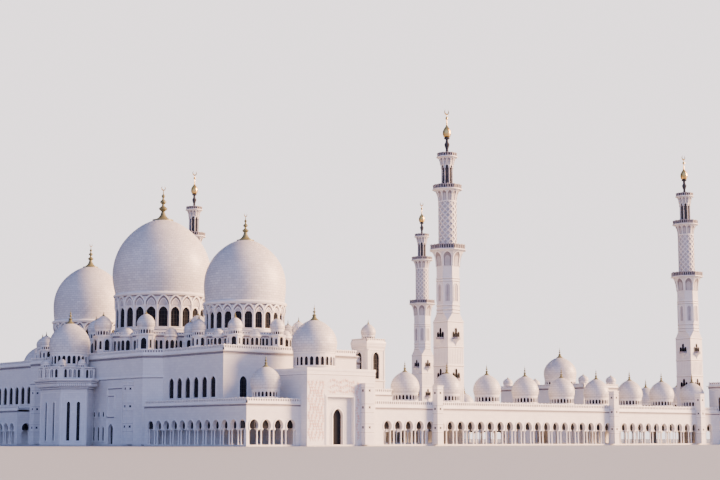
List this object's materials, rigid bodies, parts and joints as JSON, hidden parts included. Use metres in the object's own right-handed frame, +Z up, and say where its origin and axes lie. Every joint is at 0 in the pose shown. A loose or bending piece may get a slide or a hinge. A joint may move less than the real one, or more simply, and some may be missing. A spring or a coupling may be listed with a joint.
{
  "type": "scale model of a domed mosque building, 1:10",
  "caption": "Scale model of a white marble mosque: domed hall on eight-sided storeys, arcaded wings round a courtyard, tall balconied towers at its corners.",
  "frame": {"origin": "middle of the plan at ground level", "axes": "+X from the prayer hall towards the entrance, along the length; +Z up"},
  "size_m": [24.13, 19.32, 10.7],
  "materials": {
    "wall_marble": "honed white marble with carved and moulded bands",
    "dome_marble": "white marble in fine level courses",
    "floor_marble": "polished pale marble paving",
    "trim_marble": "carved white marble mouldings",
    "inlay": "pinkish floral inlay",
    "dark_stone": "dark stone",
    "window_glass": "dark glazing behind carved screens",
    "gold": "gilded finials"
  },
  "bodies": {
    "root": {"courtyard_front": "wall_marble", "courtyard_tower_north": "wall_marble", "courtyard_tower_south": "wall_marble", "east_wing_court_arcade_north": "wall_marble", "east_wing_court_arcade_south": "wall_marble", "east_wing_outer_arcade_north": "wall_marble", "east_wing_outer_arcade_south": "wall_marble", "east_wing_roof_north": "wall_marble", "east_wing_roof_south": "wall_marble", "entrance_block": "wall_marble", "entrance_dome": "dome_marble", "hall_floor": "floor_marble", "hall_roof": "wall_marble", "hall_wall_east": "wall_marble", "hall_wall_north": "wall_marble", "hall_wall_south": "wall_marble", "hall_wall_west": "wall_marble", "main_dome": "dome_marble", "main_dome_drum": "wall_marble", "main_dome_finial": "gold", "main_dome_storey": "wall_marble", "minaret_northeast_shaft": "wall_marble", "minaret_northeast_tower": "wall_marble", "minaret_northwest_shaft": "wall_marble", "minaret_northwest_tower": "wall_marble", "minaret_southeast_shaft": "wall_marble", "minaret_southeast_tower": "wall_marble", "minaret_southwest_shaft": "wall_marble", "minaret_southwest_tower": "wall_marble", "niche_dome": "dome_marble", "niche_gallery": "wall_marble", "niche_tower": "wall_marble", "north_dome": "dome_marble", "north_dome_drum": "wall_marble", "north_dome_finial": "gold", "north_dome_storey": "wall_marble", "north_portal": "wall_marble", "north_portal_dome": "dome_marble", "north_wing_court_arcade": "wall_marble", "north_wing_outer_arcade": "wall_marble", "north_wing_roof": "wall_marble", "northeast_gate": "wall_marble", "northwest_terrace": "wall_marble", "south_dome": "dome_marble", "south_dome_drum": "wall_marble", "south_dome_finial": "gold", "south_dome_storey": "wall_marble", "south_portal": "wall_marble", "south_portal_dome": "dome_marble", "south_wing_court_arcade": "wall_marble", "south_wing_outer_arcade": "wall_marble", "south_wing_roof": "wall_marble", "southeast_gate": "wall_marble", "southwest_terrace": "wall_marble", "west_block": "wall_marble", "wing_floor": "floor_marble"}
  },
  "joints": []
}
